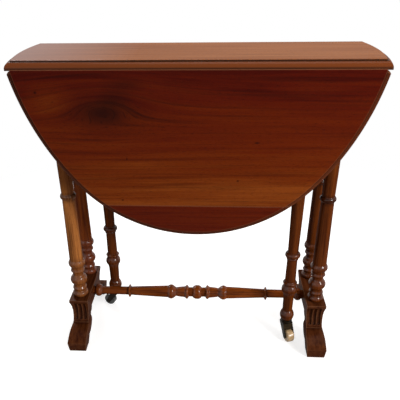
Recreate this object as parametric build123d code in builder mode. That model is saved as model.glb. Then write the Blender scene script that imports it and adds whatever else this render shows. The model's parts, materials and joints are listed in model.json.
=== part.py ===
from build123d import *
import os
from math import cos, degrees, hypot, radians, sin, sqrt

os.makedirs("parts", exist_ok=True)

# A narrow oval drop leaf table of the Sutherland kind, leaves down and gates closed.
# Millimetres. The origin is on the floor under the middle of the top: X runs along
# the table, -Y is the front and Z is up.

# The top
table_height = 700.0
oval_length = 768.0  # along X
oval_width = 932.0  # along Y, with both leaves raised
side_radius = 535.0  # the oval is drawn from four centres: this is its flatter arc
bed_width = 204.0  # fixed middle board, between the quirks of its two rule joints
board = 18.0
quirk = 3.0
ovolo = 12.0
ledge = 0.4  # flat at the foot of the quirk
ovolo_flats = 2  # the oval's ovolo is drawn in flats; along the rule joints it is round
joint_gap = 0.4  # between the ovolo and the hollow that turns round it
leaf_glue_line = 390.0  # distance from the middle of the top to the leaf's glued joint

# Back-flap hinges under the rule joints
hinge_spots = (-190.0, 190.0)
hinge_width = 38.0
fixed_flap = 36.0
moving_flap = 50.0
flap_thickness = 1.8
knuckle_radius = 3.2
running_fit = 0.05
recess_play = 0.3

# End supports
end_x = 297.0
column_y = 52.5
base_top = 113.0
bearer_thickness = 16.0
bearer_width = 54.0
bearer_length = 190.0
bearer_chamfer = 9.0

# Bases: half widths seen from the front, and the outline seen from the side
knee_half_width = 23.5
waist_half_width = 20.4
ankle_half_width = 19.5
toe_half_width = 27.0
sole_half_width = 21.0
knee_rim = 6.0
knee_centre = (120.0, 78.0)  # middle of the hollow knee, as distance out and height
knee_radius = 46.0
ankle_height = 50.0
listel = (3.0, 4.0)  # fillet under the knee: how far it stands out, and its height
listel_lean = 1.0
toe_reach = 144.0
sole_reach = 141.0
toe_height = 29.0
toe_nose = 5.0
heel = 106.0
arch_height = 66.0
arch_half_width = 34.0
instep = (114.0, 40.0)  # points that the curves pass through, as distance out and height
heel_top = (98.0, 21.0)
arch_side = (70.0, 29.0)
arch_spring = (48.0, 55.0)
arch_cusp = (38.0, 57.0)
toe_flare = (22.4, 36.0)

# Stretcher
stretcher_height = 90.0
stretcher_seat = 8.0  # how far its ends go into the bases

# Under-frame and gates; the gate is laid out for the front, opening from the right
rail_height = 60.0
rail_clearance = 1.0  # under the top
inner_rail = (20.0, 40.0)  # inner and outer face, from the middle
stub_tenon = (14.0, 10.0, 10.0)
gate_rail_outer = 64.0
fly_rail_inner = 41.0
pivot = (-40.0, -52.5)
barrel_radius = 11.5
barrel_play = 0.6
finger_play = 0.3
fingers = 3
gate_pin_radius = 3.0
gate_leg = (230.0, -60.0)
leg_block = 38.0
leg_block_foot = 600.0
rail_tenon = (20.0, 10.0, 40.0)
leaf_stop = (30.0, 60.0, 12.0)
leaf_stop_spot = (-64.0, 320.0)

# Cup castors
cup_foot = 50.0
cup_height = 16.0
cup_radius = 14.6
swivel_radius = 4.0
swivel_gap = 0.6
horn_plate = 3.5
horn_width = 18.0
cheek_gap = 18.0
cheek_thickness = 2.5
wheel_radius = 16.0
wheel_width = 16.0
wheel_trail = 20.0
axle_radius = 2.0
axle_eye = 6.0
castor_turn = {"front": -70.0, "back": -20.0}  # degrees from the gate's own direction

underside = table_height - board
hinge_y = bed_width / 2
hinge_z = table_height - quirk - ovolo
bearer_foot = underside - bearer_thickness
rail_top = underside - rail_clearance
rail_foot = rail_top - rail_height
axis_rise = hinge_z - underside
recess_width = hinge_width + 2 * recess_play
flap_bed = fixed_flap + recess_play
knuckle_slot = knuckle_radius + recess_play

# Turned outlines, as a starting radius and steps away from it: a length and the radius at its end
column_foot = 19.0
column_steps = [
    (14.0, 19.0),
    (0.0, 15.4),
    (22.5, 15.4),
    (3.6, 20.0),
    (15.8, 20.0),
    (3.6, 15.4),
    (26.5, 15.4),
    (3.6, 19.6),
    (11.8, 19.6),
    (3.6, 16.0),
    (170.0, 16.0),
    (1.6, 18.2),
    (1.6, 16.0),
]
stretcher_bulb = 18.0
stretcher_half = [
    (6.0, 18.0),
    (3.6, 13.2),
    (48.0, 13.2),
    (3.6, 17.4),
    (12.0, 17.4),
    (3.6, 13.2),
    (98.0, 13.2),
    (1.8, 15.0),
    (1.8, 13.2),
]
leg_foot_radius = 13.4
leg_steps = [
    (3.6, 17.4),
    (20.8, 17.4),
    (3.6, 13.4),
    (53.0, 13.4),
    (0.0, 18.0),
    (21.0, 18.0),
    (0.0, 13.4),
    (79.5, 13.4),
    (4.0, 17.4),
    (4.0, 13.4),
]


def keep(piece, name):
    """Name a finished piece and write it."""
    piece.part.label = name
    export_step(piece.part, f"parts/{name}.step")


def turning(start_radius, steps):
    """Points of a turned outline, as radius and distance, closed along its axis."""
    points = [(start_radius, 0)]
    for length, radius in steps:
        points.append((radius, points[-1][1] + length))
    return points + [(0, points[-1][1]), (0, 0)]


def run_of(steps):
    """The whole length of a turned outline."""
    return sum(length for length, radius in steps)


def upright(x, y, z):
    """A plane facing the front, its own y axis straight up through a point."""
    return Plane(origin=(x, y, z), x_dir=(1, 0, 0), z_dir=(0, -1, 0))


def leaf_plane(facing):
    """The plane of a hanging leaf: origin on its hinge axis, y up and z outwards."""
    return Plane(origin=(0, facing * hinge_y, hinge_z), x_dir=(-facing, 0, 0), z_dir=(0, facing, 0))


def gate_plane(facing):
    """The floor plane with its x axis towards the leg of the front or the back gate."""
    return Plane(origin=(0, 0, 0), x_dir=(-facing, 0, 0), z_dir=(0, 0, 1))


def hinge_axis_plane(facing, x):
    """A plane across the table at x, centred on a hinge axis, with y up."""
    return Plane(origin=(x, facing * hinge_y, hinge_z), x_dir=(0, 1, 0), z_dir=(1, 0, 0))


def oval_face(inset):
    """The four-centred oval of the top, or one inside it."""
    side_centre = side_radius - oval_length / 2
    spare = side_radius - oval_width / 2
    tip_centre = (side_centre**2 - spare**2) / (2 * spare)
    span = hypot(side_centre, tip_centre)
    corner_x = (side_radius - inset) * side_centre / span - side_centre
    corner_y = (side_radius - inset) * tip_centre / span
    with BuildSketch() as oval:
        with BuildLine():
            for way in (-1, 1):
                side = (way * (oval_length / 2 - inset), 0)
                tip = (0, way * (oval_width / 2 - inset))
                ThreePointArc((way * corner_x, -way * corner_y), side, (way * corner_x, way * corner_y))
                ThreePointArc((way * corner_x, way * corner_y), tip, (-way * corner_x, way * corner_y))
        make_face()
    return oval.sketch


def moulded_oval(plane):
    """The whole oval top with its quirk and ovolo edge, standing on its underside."""
    with BuildPart() as oval:
        with BuildSketch(plane):
            add(oval_face(0))
        extrude(amount=board - quirk - ovolo)
        for flat in range(ovolo_flats):
            low, high = (radians(90 * step / ovolo_flats) for step in (flat, flat + 1))
            with BuildSketch(plane.offset(board - quirk - ovolo + ovolo * sin(low))):
                add(oval_face(ovolo * (1 - cos(low))))
            extrude(amount=ovolo * (sin(high) - sin(low)), taper=degrees((low + high) / 2))
        with BuildSketch(plane.offset(board - quirk)):
            add(oval_face(ovolo + ledge))
        extrude(amount=quirk)
    return oval.part


# The fixed middle board, with ovolo edges for both rule joints and recesses for the hinges
with BuildPart() as top_board:
    add(moulded_oval(Plane.XY.offset(underside)))
    with BuildSketch(Plane.YZ):
        with Locations((0, underside + board / 2)):
            Rectangle(bed_width, board)
        with Locations((-hinge_y, hinge_z), (hinge_y, hinge_z)):
            Circle(ovolo)
    extrude(amount=oval_length, both=True, mode=Mode.INTERSECT)
    for facing in (-1, 1):
        for spot in hinge_spots:
            with BuildSketch(hinge_axis_plane(facing, spot - recess_width / 2)):
                with Locations((-facing * flap_bed / 2, flap_thickness / 2 - axis_rise)):
                    Rectangle(flap_bed, flap_thickness)
                with Locations((0, (knuckle_slot - axis_rise) / 2)):
                    Rectangle(2 * knuckle_slot, knuckle_slot + axis_rise)
                with Locations((facing * ovolo / 2, -axis_rise / 2)):
                    Rectangle(ovolo, axis_rise)
            extrude(amount=recess_width, mode=Mode.SUBTRACT)
keep(top_board, "top_board")

for side, facing in (("front", -1), ("back", 1)):
    hanging = leaf_plane(facing)
    oval_middle = hanging.from_local_coords((0, hinge_y, -axis_rise))
    oval_plane = Plane(oval_middle, x_dir=hanging.x_dir, z_dir=hanging.z_dir)
    behind = hanging.offset(-axis_rise)
    leaf_drop = oval_width / 2 - hinge_y
    glue_drop = leaf_glue_line - hinge_y

    # The leaf's wide board, hollowed along its upper edge to turn round the ovolo
    with BuildPart() as leaf:
        add(moulded_oval(oval_plane))
        with BuildSketch(behind):
            with Locations((0, -(glue_drop + joint_gap) / 2)):
                Rectangle(oval_length, glue_drop - joint_gap)
        extrude(amount=board, mode=Mode.INTERSECT)
        with BuildSketch(hinge_axis_plane(facing, -oval_length / 2)):
            Circle(ovolo + joint_gap)
        extrude(amount=oval_length, mode=Mode.SUBTRACT)
        for spot in hinge_spots:
            with BuildSketch(behind):
                with Locations((spot, -(moving_flap + recess_play) / 2)):
                    Rectangle(recess_width, moving_flap + recess_play)
            extrude(amount=flap_thickness, mode=Mode.SUBTRACT)
    keep(leaf, f"{side}_leaf_board")

    # The narrow board glued on to finish the oval
    with BuildPart() as leaf_tip:
        add(moulded_oval(oval_plane))
        with BuildSketch(behind):
            with Locations((0, -(glue_drop + leaf_drop) / 2)):
                Rectangle(oval_length, leaf_drop - glue_drop)
        extrude(amount=board, mode=Mode.INTERSECT)
    keep(leaf_tip, f"{side}_leaf_tip")

    # The block under the leaf that stops the gate leg when it is out
    stop_length, stop_width, stop_thickness = leaf_stop
    with BuildPart() as stop:
        with BuildSketch(behind):
            with Locations((leaf_stop_spot[0], hinge_y - leaf_stop_spot[1])):
                Rectangle(stop_length, stop_width)
        extrude(amount=-stop_thickness)
        chamfer(stop.faces().sort_by(Axis(behind.origin, behind.z_dir))[0].edges(), stop_thickness / 4)
    keep(stop, f"{side}_leaf_stop")

    # Hinge flaps let into the undersides; one carries half of the knuckle, the other the rest
    half_hinge = hinge_width / 2
    knuckle_clear = sqrt(2) * axis_rise + recess_play
    with BuildPart() as fixed_flaps:
        for spot in hinge_spots:
            with BuildSketch(Plane.XY.offset(underside)):
                with Locations((spot, facing * (hinge_y - fixed_flap / 2))):
                    Rectangle(hinge_width, fixed_flap)
                with Locations((spot + half_hinge / 2, facing * (hinge_y - knuckle_clear / 2))):
                    Rectangle(half_hinge, knuckle_clear, mode=Mode.SUBTRACT)
            extrude(amount=flap_thickness)
            with BuildSketch(hinge_axis_plane(facing, spot)):
                Circle(knuckle_radius)
            extrude(amount=-half_hinge)
    keep(fixed_flaps, f"{side}_hinge_fixed_flaps")

    with BuildPart() as moving_flaps:
        for spot in hinge_spots:
            with BuildSketch(behind):
                with Locations((-facing * spot, -moving_flap / 2)):
                    Rectangle(hinge_width, moving_flap)
                with Locations((-facing * (spot + (recess_play - half_hinge) / 2), -knuckle_clear / 2)):
                    Rectangle(half_hinge + recess_play, knuckle_clear, mode=Mode.SUBTRACT)
            extrude(amount=flap_thickness)
            with BuildSketch(hinge_axis_plane(facing, spot + recess_play)):
                Circle(knuckle_radius)
            extrude(amount=half_hinge - recess_play)
    keep(moving_flaps, f"{side}_hinge_moving_flaps")

# End supports: a base with hollow knees, two turned columns and a cross bearer
reach, knee_height = knee_centre
rim_foot = base_top - knee_rim
knee_reach = reach - sqrt(knee_radius**2 - (rim_foot - knee_height) ** 2)
ankle_reach = reach - sqrt(knee_radius**2 - (ankle_height - knee_height) ** 2)
listel_reach = ankle_reach + listel[0]
listel_foot = ankle_height - listel[1]
listel_corner = (listel_reach + listel_lean, listel_foot)
toe_corner = (toe_half_width, toe_height - toe_nose)
stretcher_end = end_x - waist_half_width + stretcher_seat
stretcher_tip = stretcher_half[-1][1]
tenon_length, tenon_thickness, tenon_height = stub_tenon
tenon_y = sum(inner_rail) / 2
tenon_z = bearer_foot + bearer_thickness / 2
column_shaft = (bearer_foot - base_top - run_of(column_steps), column_steps[-1][1])

for end, x in (("left", -end_x), ("right", end_x)):
    outward = 1 if x > 0 else -1
    with BuildPart() as base:
        with BuildSketch(Plane.YZ.offset(x - toe_half_width)):
            with BuildLine():
                Polyline((0, arch_height), (0, base_top), (knee_reach, base_top), (knee_reach, rim_foot))
                ThreePointArc(
                    (knee_reach, rim_foot), (reach - knee_radius, knee_height), (ankle_reach, ankle_height)
                )
                Polyline((ankle_reach, ankle_height), (listel_reach, ankle_height), listel_corner)
                ThreePointArc(listel_corner, instep, (toe_reach - toe_nose, toe_height))
                Line((toe_reach - toe_nose, toe_height), (toe_reach, toe_height - toe_nose))
                Polyline((toe_reach, toe_height - toe_nose), (sole_reach, 0), (heel, 0), heel_top)
                ThreePointArc(heel_top, arch_side, arch_spring)
                ThreePointArc(arch_spring, arch_cusp, (arch_half_width, arch_height))
                Line((arch_half_width, arch_height), (0, arch_height))
            make_face()
            mirror(about=Plane.YZ)
        extrude(amount=2 * toe_half_width)
        with BuildSketch(upright(x, 0, 0)):
            with BuildLine():
                Polyline((0, 0), (0, base_top), (knee_half_width, base_top), (knee_half_width, rim_foot))
                Line((knee_half_width, rim_foot), (waist_half_width, knee_height))
                Line((waist_half_width, knee_height), (ankle_half_width, ankle_height))
                Line((ankle_half_width, ankle_height), (ankle_half_width, listel_foot))
                Polyline((ankle_half_width, listel_foot), toe_flare, toe_corner)
                Polyline(toe_corner, (sole_half_width, 0), (0, 0))
            make_face()
            mirror(about=Plane.YZ)
        extrude(amount=2 * toe_reach, both=True, mode=Mode.INTERSECT)
        with BuildSketch(Plane.YZ.offset(outward * stretcher_end)):
            with Locations((0, stretcher_height)):
                Circle(stretcher_tip)
        extrude(amount=-outward * knee_half_width, mode=Mode.SUBTRACT)
    keep(base, f"{end}_base")

    for row, y in (("front", -column_y), ("back", column_y)):
        with BuildPart() as column:
            with BuildSketch(upright(x, y, base_top)):
                Polygon(*turning(column_foot, column_steps + [column_shaft]), align=None)
            revolve(axis=Axis((x, y, 0), (0, 0, 1)))
        keep(column, f"{end}_{row}_column")

    half = bearer_length / 2
    with BuildPart() as bearer:
        with BuildSketch(Plane.YZ.offset(x - bearer_width / 2)):
            Polygon(
                (-half, underside),
                (-half, bearer_foot + bearer_chamfer),
                (-half + bearer_chamfer, bearer_foot),
                (half - bearer_chamfer, bearer_foot),
                (half, bearer_foot + bearer_chamfer),
                (half, underside),
                align=None,
            )
        extrude(amount=bearer_width)
        with BuildSketch(Plane.YZ.offset(x - outward * bearer_width / 2)):
            with Locations((-tenon_y, tenon_z), (tenon_y, tenon_z)):
                Rectangle(tenon_thickness, tenon_height)
        extrude(amount=outward * tenon_length, mode=Mode.SUBTRACT)
    keep(bearer, f"{end}_bearer")

# The turned stretcher between the two bases, alike each side of its middle bulb
with BuildPart() as stretcher:
    for way in (-1, 1):
        steps = stretcher_half + [(stretcher_end - run_of(stretcher_half), stretcher_tip)]
        with BuildSketch(Plane((0, 0, stretcher_height), x_dir=(0, -way, 0), z_dir=(0, 0, 1))):
            Polygon(*turning(stretcher_bulb, steps), align=None)
        revolve(axis=Axis((0, 0, stretcher_height), (1, 0, 0)))
keep(stretcher, "stretcher")

rail_run = end_x - bearer_width / 2
finger = rail_height / fingers
swing = barrel_radius + barrel_play
pivot_x, pivot_y = pivot
leg_x, leg_y = gate_leg
block_face = leg_x - leg_block / 2
tenon_reach, tenon_width, tenon_rise = rail_tenon
fly_middle = -(gate_rail_outer + fly_rail_inner) / 2
leg_foot = cup_foot + cup_height
plate_top = cup_foot - swivel_gap
plate_foot = plate_top - horn_plate

for side, facing in (("front", -1), ("back", 1)):
    floor = gate_plane(facing)

    # The fixed rail beside the middle, tenoned into both bearers
    with BuildPart() as rail:
        with BuildSketch(floor.offset(rail_foot)):
            with Locations((0, -tenon_y)):
                Rectangle(2 * rail_run, inner_rail[1] - inner_rail[0])
        extrude(amount=underside - rail_foot)
        with BuildSketch(floor.offset(tenon_z - tenon_height / 2)):
            with Locations((0, -tenon_y)):
                Rectangle(2 * (rail_run + tenon_length), tenon_thickness)
        extrude(amount=tenon_height)
    keep(rail, f"{side}_frame_rail")

    # The wooden knuckle joint: outer fingers on the fixed rail, the middle one on the fly rail
    with BuildPart() as knuckle_rail:
        with BuildSketch(floor.offset(rail_foot)):
            with Locations(((pivot_x - rail_run) / 2, -(gate_rail_outer + inner_rail[1]) / 2)):
                Rectangle(pivot_x + rail_run, gate_rail_outer - inner_rail[1])
            with Locations(pivot):
                Circle(barrel_radius)
        extrude(amount=rail_height)
        for level in range(1, fingers, 2):
            with BuildSketch(floor.offset(rail_foot + level * finger)):
                with Locations(pivot):
                    Rectangle(2 * swing, 4 * swing)
            extrude(amount=finger, mode=Mode.SUBTRACT)
        with BuildSketch(floor.offset(rail_foot)):
            with Locations(pivot):
                Circle(gate_pin_radius)
        extrude(amount=rail_height, mode=Mode.SUBTRACT)
    keep(knuckle_rail, f"{side}_knuckle_rail")

    with BuildPart() as gate_pin:
        with BuildSketch(floor.offset(rail_foot)):
            with Locations(pivot):
                Circle(gate_pin_radius)
        extrude(amount=rail_height)
    keep(gate_pin, f"{side}_gate_pin")

    with BuildPart() as fly_rail:
        with BuildSketch(floor.offset(rail_foot)):
            with Locations(((pivot_x + block_face) / 2, fly_middle)):
                Rectangle(block_face - pivot_x, gate_rail_outer - fly_rail_inner)
            with Locations(pivot):
                Circle(barrel_radius)
        extrude(amount=rail_height)
        for level in range(0, fingers, 2):
            with BuildSketch(floor.offset(rail_foot + level * finger - finger_play)):
                with Locations(pivot):
                    Rectangle(2 * swing, 4 * swing)
            extrude(amount=finger + 2 * finger_play, mode=Mode.SUBTRACT)
        with BuildSketch(floor.offset(rail_foot)):
            with Locations(pivot):
                Circle(gate_pin_radius + running_fit)
        extrude(amount=rail_height, mode=Mode.SUBTRACT)
        with BuildSketch(floor.offset(rail_foot + (rail_height - tenon_rise) / 2)):
            with Locations((block_face + tenon_reach / 2, fly_middle)):
                Rectangle(tenon_reach, tenon_width)
        extrude(amount=tenon_rise)
    keep(fly_rail, f"{side}_fly_rail")

    # The swing leg: turned below a square block that takes the fly rail's tenon
    leg_at = floor.from_local_coords((leg_x, leg_y, 0))
    leg_shaft = (leg_block_foot - leg_foot - run_of(leg_steps), leg_steps[-1][1])
    with BuildPart() as leg:
        with BuildSketch(upright(leg_at.X, leg_at.Y, leg_foot)):
            Polygon(*turning(leg_foot_radius, leg_steps + [leg_shaft]), align=None)
        revolve(axis=Axis((leg_at.X, leg_at.Y, 0), (0, 0, 1)))
        with BuildSketch(floor.offset(leg_block_foot)):
            with Locations((leg_x, leg_y)):
                Rectangle(leg_block, leg_block)
        extrude(amount=rail_top - leg_block_foot)
        with BuildSketch(floor.offset(rail_foot + (rail_height - tenon_rise) / 2)):
            with Locations((block_face + tenon_reach / 2, fly_middle)):
                Rectangle(tenon_reach, tenon_width)
        extrude(amount=tenon_rise, mode=Mode.SUBTRACT)
    keep(leg, f"{side}_gate_leg")

    # The castor: a cup on the leg, a horn that swivels under it, an axle and a wheel
    turn = radians(castor_turn[side])
    trail_dir = floor.x_dir * cos(turn) + floor.y_dir * sin(turn)
    castor = Plane(origin=(leg_at.X, leg_at.Y, 0), x_dir=trail_dir, z_dir=(0, 0, 1))
    side_view = Plane(origin=castor.origin, x_dir=trail_dir, z_dir=trail_dir.cross(Vector(0, 0, 1)))
    with BuildPart() as cup:
        with BuildSketch(castor.offset(cup_foot)):
            Circle(cup_radius)
        extrude(amount=cup_height)
    keep(cup, f"{side}_castor_cup")

    with BuildPart() as horn:
        with BuildSketch(castor.offset(plate_foot)):
            Rectangle(horn_width, cheek_gap + 2 * cheek_thickness)
        extrude(amount=horn_plate)
        with BuildSketch(castor.offset(plate_top)):
            Circle(swivel_radius)
        extrude(amount=swivel_gap)
        with BuildSketch(side_view.offset(cheek_gap / 2)):
            with BuildLine():
                Line((-horn_width / 2, plate_foot), (horn_width / 2, plate_foot))
                CenterArc((wheel_trail, wheel_radius), axle_eye, 0, 360)
            make_hull()
        extrude(amount=cheek_thickness)
        mirror(about=side_view)
    keep(horn, f"{side}_castor_horn")

    with BuildPart() as axle:
        with BuildSketch(side_view):
            with Locations((wheel_trail, wheel_radius)):
                Circle(axle_radius)
        extrude(amount=cheek_gap / 2, both=True)
    keep(axle, f"{side}_castor_axle")

    with BuildPart() as wheel:
        with BuildSketch(side_view):
            with Locations((wheel_trail, wheel_radius)):
                Circle(wheel_radius)
        extrude(amount=wheel_width / 2, both=True)
        with BuildSketch(side_view):
            with Locations((wheel_trail, wheel_radius)):
                Circle(axle_radius + running_fit)
        extrude(amount=wheel_width, both=True, mode=Mode.SUBTRACT)
    keep(wheel, f"{side}_castor_wheel")
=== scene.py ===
import json
from math import acos, asin, atan2, cos, hypot, pi, radians, sin, sqrt

import bmesh
import bpy
from bpy.props import FloatProperty, FloatVectorProperty, IntProperty, PointerProperty
from mathutils import Matrix, Vector


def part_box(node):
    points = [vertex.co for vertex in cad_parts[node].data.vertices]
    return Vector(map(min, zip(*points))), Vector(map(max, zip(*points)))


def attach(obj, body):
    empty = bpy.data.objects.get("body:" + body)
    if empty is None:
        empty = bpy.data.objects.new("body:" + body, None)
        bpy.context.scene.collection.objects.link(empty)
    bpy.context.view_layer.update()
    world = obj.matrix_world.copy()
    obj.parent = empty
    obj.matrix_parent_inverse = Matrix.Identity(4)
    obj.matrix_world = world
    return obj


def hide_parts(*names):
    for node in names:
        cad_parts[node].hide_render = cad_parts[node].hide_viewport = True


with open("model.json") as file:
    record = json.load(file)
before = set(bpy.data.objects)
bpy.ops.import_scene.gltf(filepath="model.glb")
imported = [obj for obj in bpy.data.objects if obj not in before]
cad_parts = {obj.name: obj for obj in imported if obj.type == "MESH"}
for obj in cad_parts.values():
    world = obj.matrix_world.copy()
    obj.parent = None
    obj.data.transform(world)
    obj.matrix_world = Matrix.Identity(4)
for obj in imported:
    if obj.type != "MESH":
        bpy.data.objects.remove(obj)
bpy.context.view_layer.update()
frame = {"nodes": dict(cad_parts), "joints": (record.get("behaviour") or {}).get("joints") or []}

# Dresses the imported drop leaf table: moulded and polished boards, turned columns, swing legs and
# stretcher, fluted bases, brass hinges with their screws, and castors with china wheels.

bl_info = {
    "name": "Drop Leaf Table",
    "version": (1, 0, 0),
    "blender": (4, 5, 0),
    "location": "3D View > Sidebar > Table",
    "description": "Dresses an oval drop leaf table with its mouldings, turnings, hinges and castors",
    "category": "Object",
}

MM = 0.001
UP = (0, 0, 1)
TABLE_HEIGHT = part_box("top_board")[1].z
# The way each side of the table faces, along Y
SIDES = {"front": -1, "back": 1}
ENDS = ("left", "right")

# Turned outlines in millimetres: length of a run, radius at its end, and how far it swells
COLUMN_COLLAR = 18.4
COLUMN_WAIST = [(6, 15.2, 1.0), (1.5, 14.6, 0)]
COLUMN_SHAFT = 16.6
COLUMN_FOOT = [
    (2, 16.6, 0), (19, 15.5, 4.4), (5.5, 15.2, 0), (4.5, 17.2, 0), (1.5, 17.2, 0), (4, 14.6, 0),
    (11, 15, -1.6), (23, 15, 5.6), (7, 14.6, 0), (4.5, 17.2, 0), (2, 17.2, 0), (4.5, 14.8, 0),
    (3.5, 15, 0), (15, 15, 4.3),
]
COLUMN_HEAD = [(2, 16.6, 0), (19, 15.5, 4.4), (34, 14.8, 0), (4, 18, 0), (3, 18, 0), (2, 16, 0)]
LEG_IN_CUP = 9
LEG_ANKLE = 12.3
LEG_COLLAR = 374
LEG = [
    (28, 12.2, 5.3), (34, 12.8, 0), (19, 15.4, -0.8), (21, 15.2, 3.9), (4, 14.4, 0), (3.5, 17.2, 0),
    (1.5, 17.2, 0), (3.5, 13, 0), (62, 12.2, 0), (5.5, 12.9, 1.6), (14, 12.6, 5.4), (1.5, 12.4, 0),
    (180, 14.8, 0), (4, 18.6, 0), (2.5, 18.6, 0), (4, 14.6, 0), (142.5, 13.6, 0), (16, 14.6, 3.6),
]
STRETCHER_BULB = 18
STRETCHER = [
    (12, 12.2, 2.2), (9, 12.2, 0), (3, 16.4, 0), (6, 16.4, 2), (3, 14.4, 0), (17, 12.6, 0),
    (5, 11.3, 0), (6, 15.6, 0), (16, 15.6, 3.2), (98, 11.3, 0), (3, 17, 0), (2, 17, 0),
    (3, 10.8, 0), (70, 10.4, 0), (3, 14, 0), (13, 14, 2.2), (2, 10.4, 0), (13.6, 10.4, 0),
]
CUP_FOOT = 13.6
CUP = [
    (0.8, 14.4, 0), (1.6, 14.4, 0.2), (0.8, 13.5, 0), (3.4, 13.2, 0), (0.6, 14.2, 0), (1.6, 14.2, 0.4),
    (0.6, 13.2, 0),
]
RIVET = 3
RIVET_HEAD = [(0.3, 2.9, 0), (0.5, 1.2, 0.2)]
BOSS = 7
BOSS_RUNS = [(0.7, BOSS, 0), (0.4, 6.6, 0)]
WHEEL_WIDTH = 19
WHEEL_BORE = 2.1
WHEEL_RADIUS = 15.7
WHEEL = [
    (0, 6, 0), (1.2, 7, 0), (0, 11, 0), (-0.9, 12, 0), (1.2, 14, 0.6), (2, WHEEL_RADIUS, 0.5),
    (12, WHEEL_RADIUS, 0.3), (2, 14, 0.5), (1.2, 12, 0.6), (-0.9, 11, 0), (0, 7, 0), (1.2, 6, 0),
    (0, WHEEL_BORE, 0), (-WHEEL_WIDTH, WHEEL_BORE, 0),
]
ARC_STEPS = 10
TURNED_ARRIS = 0.5
# The most of a run that the rounding of its corner takes
CORNER_SHARE = 0.45

# A castor's horn in millimetres
HORN_PLATE = 3.5
HORN_EYE = 6
HORN_CHEEK = 2.5
HORN_UNDER_CUP = 0.6
HORN_ARRIS = 0.5
WHEEL_SIDE_ROOM = 1
WHEEL_ROOM = 1.8
BOSS_DROP = 1.2
RIVET_SUNK = 0.1
EYE_STEPS = 20
SLOT_STEPS = 48

# The square head of a swing leg in millimetres
HEAD_ARRIS = 1.2
HEAD_SHOULDER = 3
HEAD_CHAMFER = 0.8

# Hinges in millimetres from their axis; screws as distance along the hinge and across a flap
FLAP_WIDTH = 38
FLAP_ROOM = 0.3
FLAP_LET_IN = 1.2
FIXED_BED = [
    (-36.3, -4), (-36.3, -FLAP_LET_IN), (-3.5, -FLAP_LET_IN), (-3.5, 0), (-2.5, 2.5), (0, 3.5),
    (2.5, 2.5), (3.5, 0), (14, 0), (14, -4),
]
MOVING_BED = 50.3
FIXED_SCREWS = ((-12, 14), (12, 14), (0, 27))
MOVING_SCREWS = ((-12, 16), (12, 16), (-10, 40), (10, 40))
SCREW_RADIUS = 3.1
SCREW_HALF_SLOT = 0.45
SCREW_PROUD = 0.18
SCREW_ROUNDS = ((1.0, -0.4), (1.0, SCREW_PROUD - 0.1), (0.95, SCREW_PROUD))
SCREW_TURN = 1.7
SCREW_STEPS = 14

# Boards in millimetres: how far the rings of the oval's flat faces lie inside its edge, and how far a
# blank and a cut run past what they shape
UNDER_RING = 20
UPPER_RING = 30
BLANK_SPARE = 20
CUT_SPARE = 1
OVAL_SPACING = 7
COVE_STEPS = 14
LEAF_ARRIS = 0.35
GLUED_ARRIS = 0.2

# Marks in a leaf in millimetres: how far left of the middle, seen from outside, and how high, then
# half width and half height; a fleck's last value is its share
KNOT = (185, 601, 84, 40)
KNOT_RISE = 32
PALE_PATCH = (291, 624, 62, 44)
FLECKS = (
    (316, 641, 4, 4, 0.8), (-126, 540, 7, 3, 0.8), (-90, 457, 4, 3, 0.8), (157, 410, 4, 2.5, 0.8),
    (142, 504, 2, 4, 0.8), (138, 655, 56, 17, 0.4), (160, 628, 44, 22, 0.4),
)

# Outlines of a base in millimetres: distance out from the middle, and height
BASE_TOP = 113
KNEE_TOP = 107
KNEE_CENTRE = (120, 78)
KNEE_RADIUS = 46
ANKLE = 50
INSTEP = ((114, 40), (139, 29))
TOE = [(144, 24), (141, 0), (106, 0), (98, 21)]
ARCH = ((70, 29), (48, 55))
CUSP = ((38, 57), (34, 66))
FRONT_SHOULDER = [(23.5, BASE_TOP), (23.5, KNEE_TOP)]
FRONT_KNEE = ((20.4, 78), (19.5, ANKLE))
FRONT_ANKLE = (19.5, 47)
FRONT_INSTEP = ((21.8, 43), (23, 36))
FRONT_TOE = [(23.4, 24), (20.8, 0)]
BASE_ARRIS = 0.9
BLANK_HALF_WIDTH = 30
BLANK_HALF_LENGTH = 150
FLUTE_RADIUS = 4.3
FLUTE_CENTRE_RADIUS = 45.6
FLUTE_SPACING = 10.8
FLUTE_HALF_ARC = radians(33)
FLUTE_STEPS = 28
FLUTE_SIDES = 18
FLUTE_TIP = 0.12

# Finishes: the strongest share of each mark in the wood, and the values between which it comes or goes
LINE_SHARE = 0.34
LINE_FADE = (0.5, 1.0)
PORE_SHARE = 0.4
PORE_FADE = (0.7, 1.0)
HEART_SHARE = 0.88
HEART_POWER = 2.1
PATCH_SHARE = 0.36
MARK_FADE = (0.2, 1.0)
WEAR_AND_HIGHLIGHT_SHARE = 0.5
WEAR_AND_HIGHLIGHT_FADE = (0.5, 0.9)
WAX_AND_SHADE_SHARE = 0.95
WAX_AND_SHADE_FADE = (0.48, 0.95)
COLLAR_SHARE = 0.62
COLLAR_REACH = 15 * MM
EVERYWHERE = 10
# How far in from an arris the wood is rubbed and painted with highlights, and how near other wood stands
# where wax gathers and shade is painted
WEAR_AND_HIGHLIGHT_REACH = 2.5 * MM
WAX_AND_SHADE_REACH = 7 * MM
BEAD_WAX_AND_SHADE_REACH = 10 * MM
SHELTER_SAMPLES = 6
# Slopes between which a bead comes to its full polish, and how much of it the underside keeps
BEAD_SLOPE = (0.08, 0.35)
BEAD_UPWARD = (-0.1, 0.15)
UNDER_BEAD = 0.2
# Pores are drawn coarser than real ones, which would be too fine to show
PORES = (9 * MM, 0.8 * MM, 1)
PORE_DEPTH = 0.3 * MM
PORE_RELIEF = 0.12
# In a leaf: how far the grain strays from the run of colour and how strong the dark lines are, and how
# much more of each there is at the knot
LEAF_STRAY = 0.42
LEAF_LINES = 0.8
KNOT_STRAY = 0.5
KNOT_LINES = 1.7
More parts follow.
